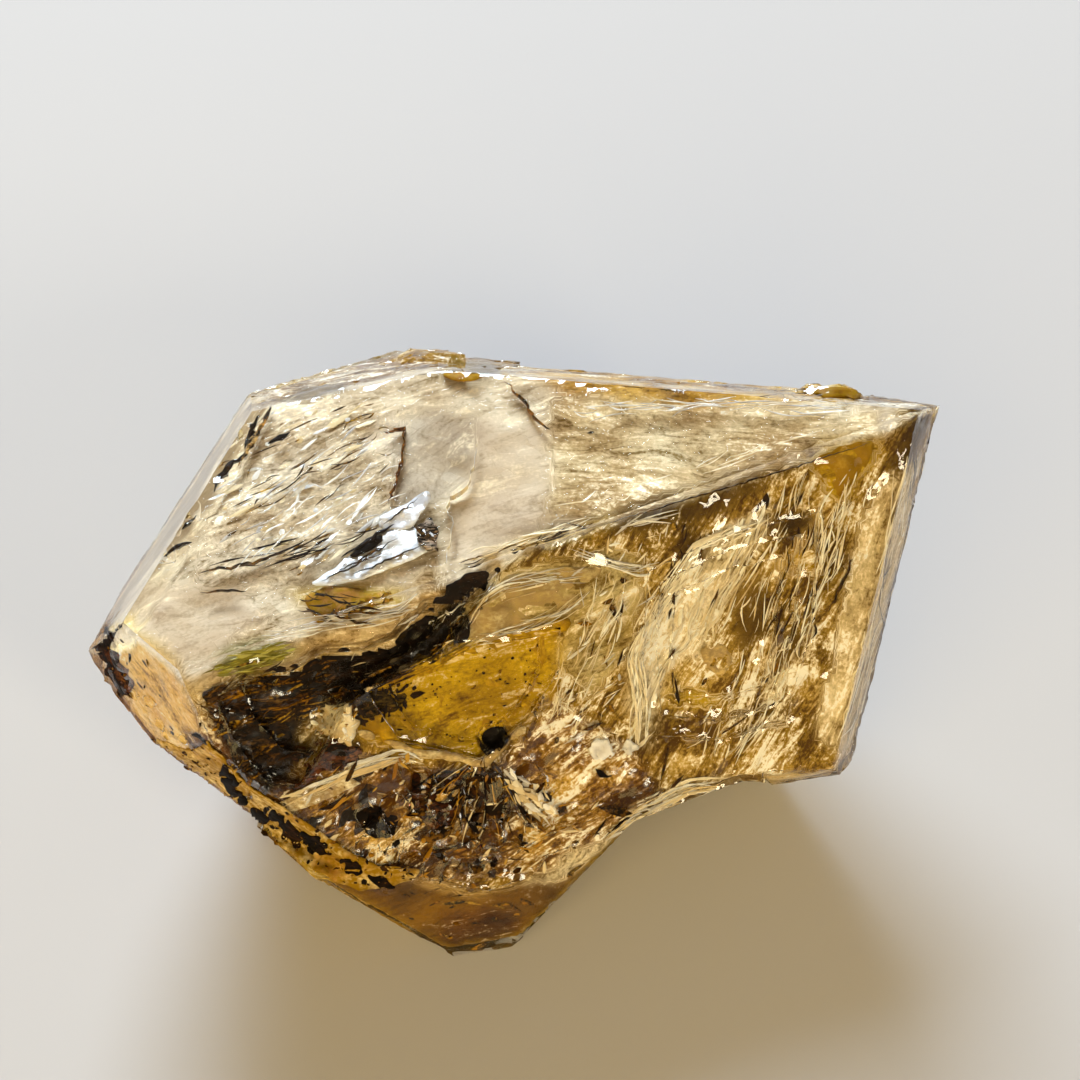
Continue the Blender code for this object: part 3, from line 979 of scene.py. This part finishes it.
# Plates: name, look, outline in pixels; depth and relief in mm, how ragged and how coarse they are in pixels,
# seed, the tones of their tint. Some have a least depth in mm and a cell in pixels of their own.
RIM_SPOT_SHEETS = [
    (f"rim_spot_{number}", "iron", outline, -0.03, 0.02, 5, 6, 69 + number, "0a0603 180d05 46280c", -0.04, 3)
    for number, outline in enumerate(RIM_SPOTS, 1)
]
SHEETS = (
    # The first four plates make the dark band under the broken lip: partly dark brown clay, partly painted
    # shade standing in for the shadow of the recess beneath the lip.
    ("stain_upper", "iron", "497,570 468,572 434,602 412,630 392,648 420,656 446,640 472,640 466,606",
     0.12, 0.08, 8, 9, 3, SHADE_AND_SOOT),
    ("stain_middle", "iron", "414,638 392,648 324,652 308,662 256,674 286,704 330,706 372,690 412,664",
     0.12, 0.08, 6, 10, 4, SHADE_AND_SOOT),
    ("stain_left", "iron", "252,676 230,682 200,696 220,722 262,732 300,722 306,696",
     0.12, 0.08, 8, 22, 5, UMBERS),
    ("stain_low", "iron", "236,722 276,720 292,738 286,768 262,798 244,792 232,756",
     0.12, 0.08, 8, 22, 6, UMBERS),
    ("amber_sheet", "clay", "359,692 422,656 474,645 551,623 568,623 537,681 546,705 499,725 477,746 "
     "488,760 417,750 359,734",
     0.35, 0.22, 8, 16, 7, "966c02 be9206 d4ac18 e6c654"),
    ("olive_smudge", "iron", "356,706 370,692 392,690 406,696 398,706 380,716 364,716",
     0.15, 0.25, 9, 8, 8, "2c2208 564210 866614"),
    ("void_shadow", "iron", "479,748 484,732 503,724 509,738 500,752 486,758",
     0.12, 0.1, 3, 22, 9, "080503 140c08"),
    ("red_brown_patch", "iron", "284,762 300,744 330,740 360,748 362,762 338,768 306,784 288,780",
     0.3, 0.25, 7, 22, 10, "46200a 703c1a 966232"),
    ("cream_lip", "cream", "357,730 417,748 486,760 520,728 548,706 546,711 514,742 487,768 418,755 "
     "358,736",
     0.12, 0.12, 4, 14, 11, "be983e e2c684 f4e8c2"),
    ("cream_shell", "cream", "452,624 470,604 507,577 560,568 600,570 586,606 540,622 474,644",
     0.35, 0.35, 5, 22, 12, "9e8240 bea668 dece9e"),
    ("cream_shard", "cream", "277,806 300,792 350,776 362,784 318,804 292,812",
     0.2, 0.25, 2, 22, 13, "d8be8c f0e2be faf4e2"),
    ("orange_patch", "clay", "300,596 340,588 388,592 396,604 360,612 316,616",
     0.7, 0.25, 6, 22, 15, "966022 b8823e cea468"),
    ("notch_clay", "clay", "440,374 452,360 484,360 500,368 484,378 456,382",
     0.3, 0.25, 3, 22, 17, "60380e 8e5c1c ba842e"),
    ("corner_clay", "clay", "812,462 838,446 876,440 864,470 842,500 826,488",
     0.4, 0.25, 4, 22, 19, "705002 967006 c09a34"),
    ("pale_flap", "cream", "700,650 712,642 730,646 732,662 722,676 706,668",
     0.2, 0.25, 2, 22, 20, "d6b468 e6ca8c"),
    # The silvery plates: near-white tones that partly stand in for the mirror sheen of a fracture face, as
    # painted reflection.
    ("silver_fracture", "silver", "310,584 334,567 357,550 383,532 413,527 433,530 438,546 413,560 368,577 "
     "330,586",
     0.3, 0.25, 2, 16, 40, "ced0d6 f0f2f6 ffffff e8e8ea"),
    ("silver_wing", "silver", "376,528 380,516 400,507 412,501 428,489 431,498 420,516 412,528 398,531",
     0.25, 0.25, 2, 12, 41, "bebcbe e2e2e6 fafafc"),
    ("black_wedge", "iron", "346,558 368,540 398,527 392,534 372,549 352,559",
     0.2, 0.25, 1.5, 10, 44, "0e0804 1e1208"),
    ("brown_knot", "iron", "416,524 430,518 440,528 438,548 426,556 418,540",
     0.2, 0.25, 4, 8, 45, "3c220c 966832 f0e6d6"),
    ("rim_crust", "iron", "88,642 91,628 104,622 120,626 113,640 106,652 96,652",
     0.08, 0.06, 4, 8, 51, "0c0703 241406 683e12"),
    ("rim_stain", "iron", "100,654 114,650 122,666 132,684 134,698 122,697 108,678",
     0.08, 0.06, 6, 8, 52, "2c1404 6e3a0c b0742c"),
    ("rim_clay", "clay", RIM_CLAY,
     0.02, 0.06, 3, 10, 53, "966018 cea454 f2da9c e4c278", -0.02, 4),
    ("bud_clay", "clay", "808,397 818,389 838,386 858,389 868,395 846,400 824,400",
     0.0, 0.03, 2, 8, 54, "704806 a67614 cea23c", -0.02, 3),
    *RIM_SPOT_SHEETS,
    ("white_knot", "white", "588,746 598,739 611,742 613,755 602,760 590,757",
     0.1, 0.25, 6, 4, 42, "d6cec4 ffffff ffffff", 0.08, 2.5),
    ("white_spot", "white", "622,746 630,740 638,748 632,756 624,754",
     0.1, 0.25, 5, 4, 43, "d6cec4 ffffff", 0.08, 2.5),
    ("cream_patch", "white", "312,714 328,702 352,706 360,724 352,744 330,738 312,730",
     0.2, 0.25, 6, 7, 46, "845a22 dcbe84 faf0d6 e8d09e"),
    ("pocket_black", "iron", "362,812 380,806 398,818 396,836 376,838 364,828",
     0.15, 0.25, 5, 10, 48, "0e0804 1e1006 40220a"),
    ("pocket_brown", "iron", "412,780 438,770 468,776 470,800 456,826 430,830 414,810",
     0.2, 0.25, 7, 14, 49, "240e03 462006 74400e"),
    ("pocket_shade", "iron", "470,776 492,770 502,786 488,802 472,794",
     0.18, 0.25, 6, 10, 50, "140a04 321a06 683e10"),
)

# Slivers: bodies, area, how many, the angle that they follow, sizes and depths in mm, colours, seed, turn,
# tilt.
SLIVERS = (
    ("white", UPPER_DASHES, 90, 30, ((0.3, 2.2), (0.08, 0.45), (0.02, 0.06)), (0.2, 0.8),
     WHITES + CREAMS, 1, 10, 20),
    ("brown", UPPER_DASHES, 24, 30, ((0.3, 1.4), (0.04, 0.2), (0.02, 0.06)), (0.2, 0.8),
     BROWNS + AMBERS, 2, 8, 20),
    ("white", FEATHERS, 110, 64, ((0.5, 2.0), (0.05, 0.3), (0.02, 0.08)), (0.08, 0.4),
     IVORIES, 4, 9, 20),
    ("brown", RIGHT_FACE, 30, 64, ((0.5, 2.2), (0.1, 0.4), (0.02, 0.1)), (0.15, 0.5),
     BROWNS + AMBERS, 6, 20, 30),
    ("white", POCKET, 110, 30, ((0.3, 1.3), (0.06, 0.3), (0.03, 0.14)), (0.06, 0.35),
     CREAMS + AMBERS + AMBERS, 9, 40, 35),
    ("brown", POCKET, 90, 30, ((0.4, 2.0), (0.15, 0.8), (0.04, 0.2)), (0.1, 0.4),
     BROWNS + BROWNS + BLACKS, 10, 40, 35),
    ("white", MIDDLE, 60, 55, ((0.4, 1.8), (0.04, 0.2), (0.02, 0.08)), (0.1, 0.3),
     WHITES + CREAMS, 51, 30, 30),
    ("brown", MIDDLE, 24, 50, ((0.4, 1.4), (0.1, 0.4), (0.02, 0.1)), (0.15, 0.5),
     BROWNS + AMBERS, 12, 40, 30),
    ("brown", AMBER_AREA, 70, 20, ((0.1, 0.4), (0.06, 0.2), (0.02, 0.06)), (0.05, 0.2),
     BROWNS + AMBERS, 16, 60, 20),
    ("brown", RIM, 34, -42, ((0.15, 0.9), (0.08, 0.4), (0.04, 0.14)), (0.04, 0.12),
     BROWNS + BLACKS + AMBERS, 14, 35, 20),
    ("brown", FOOT, 30, 5, ((0.3, 1.6), (0.1, 0.4), (0.04, 0.14)), (0.1, 0.3),
     AMBERS, 15, 25, 20),
    ("brown", RIM_CLAY, 110, -40, ((0.1, 0.7), (0.06, 0.36), (0.04, 0.1)), (-0.02, 0.01),
     BROWNS + BLACKS + AMBERS + AMBERS, 17, 60, 20),
    ("brown", OLIVE_AREA, 70, 20, ((0.2, 1.0), (0.1, 0.4), (0.02, 0.05)), (0.1, 0.3),
     BROWNS + BLACKS, 18, 50, 20),
    ("white", CREAM_AREA, 60, 30, ((0.1, 0.6), (0.06, 0.3), (0.04, 0.1)), (0.04, 0.2),
     WHITES + CREAMS + AMBERS, 19, 60, 20),
    ("white", OLIVE_PATCH, 60, 13, ((0.5, 2.0), (0.06, 0.22), (0.02, 0.06)), (0.1, 0.4),
     OLIVES, 21, 7, 20),
    ("white", SHARD_AREA, 40, -52, ((0.5, 1.6), (0.15, 0.5), (0.05, 0.14)), (0.04, 0.2),
     WHITES + CREAMS, 20, 14, 20),
)

# Fibres: guide line in pixels, how many, spread in pixels, part of the line that each takes, half width in
# mm, colours.
PALE_FIBRES = (
    ("773,514 740,528 700,548 672,590 650,628 636,660 640,700 638,749", 90, 6, (0.06, 0.3), 0.05, IVORIES),
    ("704,590 692,620 688,643 668,661 650,690", 24, 3, (0.15, 0.5), 0.04, IVORIES),
    ("764,520 742,560 720,600 700,650", 60, 13, (0.1, 0.4), 0.045, IVORIES + CREAMS),
    ("915,452 892,560 868,660 846,755", 70, 12, (0.06, 0.3), 0.045, IVORIES + CREAMS),
    ("852,470 836,520 812,600 780,680 730,770", 110, 14, (0.03, 0.16), 0.04, IVORIES),
    ("812,470 800,520 770,600 750,680 700,760", 80, 20, (0.03, 0.15), 0.035, IVORIES + CREAMS),
    ("600,845 640,815 690,792 740,782", 40, 6, (0.1, 0.5), 0.05, CREAMS + WHITES),
    ("455,628 470,604 505,586 550,576 596,572", 22, 6, (0.15, 0.6), 0.035, WHITES + CREAMS),
    ("470,640 520,628 560,612 590,590", 14, 5, (0.2, 0.6), 0.03, WHITES + CREAMS),
    ("280,806 310,790 350,772 400,757 450,764", 30, 5, (0.1, 0.5), 0.08, WHITES + CREAMS),
    ("570,548 600,560 640,570 662,566", 12, 5, (0.3, 0.8), 0.035, WHITES),
    ("612,530 640,522 662,516 684,511", 8, 3, (0.3, 0.8), 0.045, WHITES),
    ("560,410 700,404 860,408", 50, 6, (0.03, 0.2), 0.03, WHITES + GREYS),
    ("535,518 600,498 690,470 775,444 880,416", 12, 5, (0.03, 0.16), 0.03, IVORIES),
    ("447,563 517,543 593,519", 22, 3, (0.1, 0.5), 0.035, CREAMS),
    ("262,640 320,626 400,612 430,590", 30, 9, (0.1, 0.4), 0.03, GREYS + WHITES),
    ("556,730 576,680 600,630 626,576", 60, 20, (0.06, 0.25), 0.035, IVORIES + CREAMS),
    ("236,700 300,688 360,668 420,642 470,612", 16, 12, (0.05, 0.2), 0.03, CREAMS + AMBERS),
    ("220,560 300,500 390,440", 50, 40, (0.05, 0.2), 0.04, WHITES + GREYS),
)
BAND_FIBRES = (
    ("204,702 240,690 290,678 340,662", 50, 14, (0.06, 0.25), 0.05, BROWNS + BROWNS + AMBERS),
    ("212,732 250,716 300,700 350,680", 50, 14, (0.06, 0.25), 0.06, BROWNS + AMBERS),
    ("228,786 252,764 290,742", 30, 14, (0.1, 0.35), 0.06, BROWNS + AMBERS),
    ("430,656 462,622 496,586", 16, 7, (0.08, 0.25), 0.03, CREAMS + AMBERS),
)
DARK_FIBRES = (
    ("915,440 896,540 872,660", 16, 10, (0.06, 0.2), 0.04, BROWNS),
    ("820,520 806,580 780,650", 24, 20, (0.1, 0.3), 0.05, BROWNS),
    ("700,520 680,570 660,620", 16, 16, (0.1, 0.3), 0.05, BROWNS),
    ("520,376 600,380 700,388 860,396", 20, 5, (0.04, 0.2), 0.04, BROWNS + AMBERS),
    ("447,566 517,547 593,523", 12, 3, (0.05, 0.2), 0.04, BROWNS),
    ("236,500 320,450 396,418", 34, 34, (0.05, 0.2), 0.04, BROWNS + AMBERS),
    ("198,572 260,558 300,550 380,524", 18, 9, (0.08, 0.3), 0.05, BROWNS + BLACKS),
    ("296,596 350,604 392,612", 16, 9, (0.1, 0.4), 0.04, BROWNS + BLACKS),
    ("236,720 300,708 360,684 430,652", 30, 12, (0.05, 0.25), 0.05, BROWNS + AMBERS),
    ("206,700 226,720 236,760 244,790", 16, 8, (0.1, 0.4), 0.08, BROWNS),
)

# Cracks: line in pixels, depth, half width and reach down in mm, colours, seed, jitter in pixels.
DARK_CRACKS = (
    ("213,490 221,477 231,463 242,455", 0.1, 0.17, 0.6, BLACKS, 1, 2),
    ("243,449 249,435 256,422 260,415", 0.1, 0.1, 0.6, BLACKS, 2, 1.5),
    ("268,443 276,439 283,436 290,432", 0.1, 0.17, 0.4, BLACKS, 3, 1),
    ("164,556 172,549 182,544 192,542", 0.12, 0.1, 0.5, BLACKS, 4, 1.5),
    ("272,404 266,418 257,434 248,450 238,466", 0.14, 0.15, 0.4, shades("e2b268 c48a38"), 17, 1),
    ("182,530 189,522 196,515", 0.12, 0.07, 0.4, BLACKS, 5, 1),
    ("383,434 396,428 406,424 404,440 398,470 392,490 389,507",
     0.12, 0.05, 0.8, shades("b07024 965816 6e3e10"), 6, 3),
    ("341,557 360,545 378,534 394,524", 0.1, 0.1, 0.4, BLACKS, 7, 1.5),
    ("198,571 230,566 262,558 285,552", 0.12, 0.05, 0.4, BLACKS + BROWNS, 8, 2),
    ("201,592 222,590 246,591", 0.12, 0.04, 0.3, BROWNS, 9, 1.5),
    ("299,611 330,614 356,622 377,625", 0.12, 0.07, 0.4, BROWNS, 10, 2),
    ("506,381 514,390 524,400 530,414 550,429", 0.1, 0.06, 0.6, shades("b07428 8c581c"), 11, 3),
    ("588,433 594,432", 0.1, 0.08, 0.2, BLACKS, 12, 1),
    ("853,558 846,578 836,596 829,611", 0.15, 0.07, 0.5, BROWNS, 13, 2),
    ("414,527 424,534 434,540 438,552", 0.12, 0.12, 0.5, BLACKS + BROWNS, 14, 4),
    ("380,832 372,822 366,826 395,834", 0.1, 0.2, 0.3, BLACKS, 15, 4),
    ("597,768 604,774 612,776", 0.1, 0.12, 0.3, BLACKS, 16, 3),
    ("596,527 640,514 682,501 730,487 770,475 830,456 876,441", 0.06, 0.035, 0.3, BROWNS, 18, 0.8),
)
PALE_CRACKS = (
    ("788,397 830,398 880,402 920,406", 0.1, 0.05, 0.3, WHITES, 40, 1),
    ("422,628 436,620 452,612 466,603", 0.1, 0.04, 0.3, WHITES, 41, 2),
    ("478,437 474,462 467,487 448,498 452,524 445,569", 0.15, 0.02, 0.6, GREYS + CREAMS, 42, 3),
)
SILVER_LINES = (
    "322,580 352,566 384,552", "336,572 366,556 398,538", "352,574 386,560 424,544",
    "384,524 398,512 418,498", "356,564 372,552 386,544",
)
RIM_MARK_REACH = 9  # pixels
RIM_MARKS = (
    (260, 817, 40), (291, 831, 42), (315, 848, 20), (351, 866, 18), (378, 882, 14),
    (199, 740, 50), (112, 660, 70), (118, 690, 75), (108, 634, 60),
)


# -------------------- the pieces inside

def add_sheets():
    stain, fracture = "clay_and_iron_stain", "silvery_fracture"
    looks = {
        # The iron look also carries painted shade: the dark band under the lip, the void and the pocket's
        # shade.
        "iron": (stain_material("iron_stain", 0.75, 1.1, (0.5, 1.6, 1.6), linear(6, 3, 1)), stain),
        "clay": (stain_material("amber_clay", 0.5, 0.7, dark=linear(150, 112, 6)), stain),
        "cream": (stain_material("cream_veil", 0.45, 0.9, (0.8, 1.4, 1.4), linear(168, 140, 92)), stain),
        "silver": (fracture_and_sheen_material(), fracture),
        "white": (veil_material(), fracture),
    }
    for name, look, outline, *settings in SHEETS:
        sheet(name, traced(outline), *looks[look], *settings)


def add_slivers():
    white, brown = Bodies(), Bodies()
    for kind, area, *settings in SLIVERS:
        scatter(white if kind == "white" else brown, traced(area), *settings)
    white.piece("silvery_slivers", veil_material(), "silvery_fracture")
    brown.piece("stained_slivers", stain_material("stained_slivers", 0.6, 1.2), "clay_and_iron_stain")


def add_fibres():
    pale, dark = Bodies(), Bodies()
    inner, outer = (0.08, 0.3), (0.02, 0.08)
    for bodies, table, seed, depths in ((pale, PALE_FIBRES, 60, inner), (dark, DARK_FIBRES, 90, inner),
                                        (dark, BAND_FIBRES, 130, outer)):
        for index, (guide, *settings) in enumerate(table):
            fibres(bodies, traced(guide), *settings, seed + index, depths)
    for index, end in enumerate(FAN_ENDS):
        fibres(pale, (FAN_START, end), 5, 12, (0.15, 0.6), 0.035, CREAMS + AMBERS, 110 + index, inner)
        fibres(dark, (FAN_START, end), 5, 12, (0.2, 0.7), 0.08, BROWNS + BLACKS, 120 + index, inner)
    pale.piece("pale_fibres", veil_material(), "silvery_fracture")
    dark.piece("stained_fibres", stain_material("stained_fibres", 0.6, 1.2), "clay_and_iron_stain")


def add_cracks():
    dark, pale = Bodies(), Bodies()
    for line, *settings in DARK_CRACKS:
        crack(dark, traced(line), *settings)
    for index, line in enumerate(SILVER_LINES):
        crack(dark, traced(line), 0.1, 0.035, 0.2, BROWNS + BLACKS, 60 + index, 1.5)
    for index, (x, y, turn) in enumerate(RIM_MARKS):
        along = RIM_MARK_REACH * math.cos(math.radians(turn))
        down = RIM_MARK_REACH * math.sin(math.radians(turn))
        line = [(x - along, y - down), (x, y), (x + along, y + down)]
        crack(dark, line, 0.06, 0.22, 0.25, BLACKS + BROWNS, 20 + index, 3, step=4)
    for line, *settings in PALE_CRACKS:
        crack(pale, traced(line), *settings)
    stain = stain_material("stained_cracks", 0.35, 1.0, dark=linear(10, 6, 3))
    dark.piece("stained_cracks", stain, "clay_and_iron_stain")
    pale.piece("healed_cracks", veil_material(), "silvery_fracture")


add_world((0.82, 0.60, 0.40, 1), (0.58, 0.34, 0.16, 1), 0.285)
add_area_light("window", -168, 31, 0.6, 0.26, 6.3, (0.72, 0.86, 1.0))
add_area_light("fill", -22, 25, 0.6, 0.65, 3.1, (1.0, 0.765, 0.32))
add_area_light("spark", 42, 30, 0.5, 0.1, 0.6, (1.0, 0.90, 0.66))
add_floor()
build_hull()
build_cloud()
add_sheets()
add_slivers()
add_fibres()
add_cracks()

settings = bpy.context.scene
settings.cycles.max_bounces = 10
settings.cycles.transmission_bounces = 8
settings.cycles.diffuse_bounces = 2
settings.cycles.caustics_refractive = True
settings.cycles.caustics_reflective = False
settings.view_settings.view_transform = "Standard"
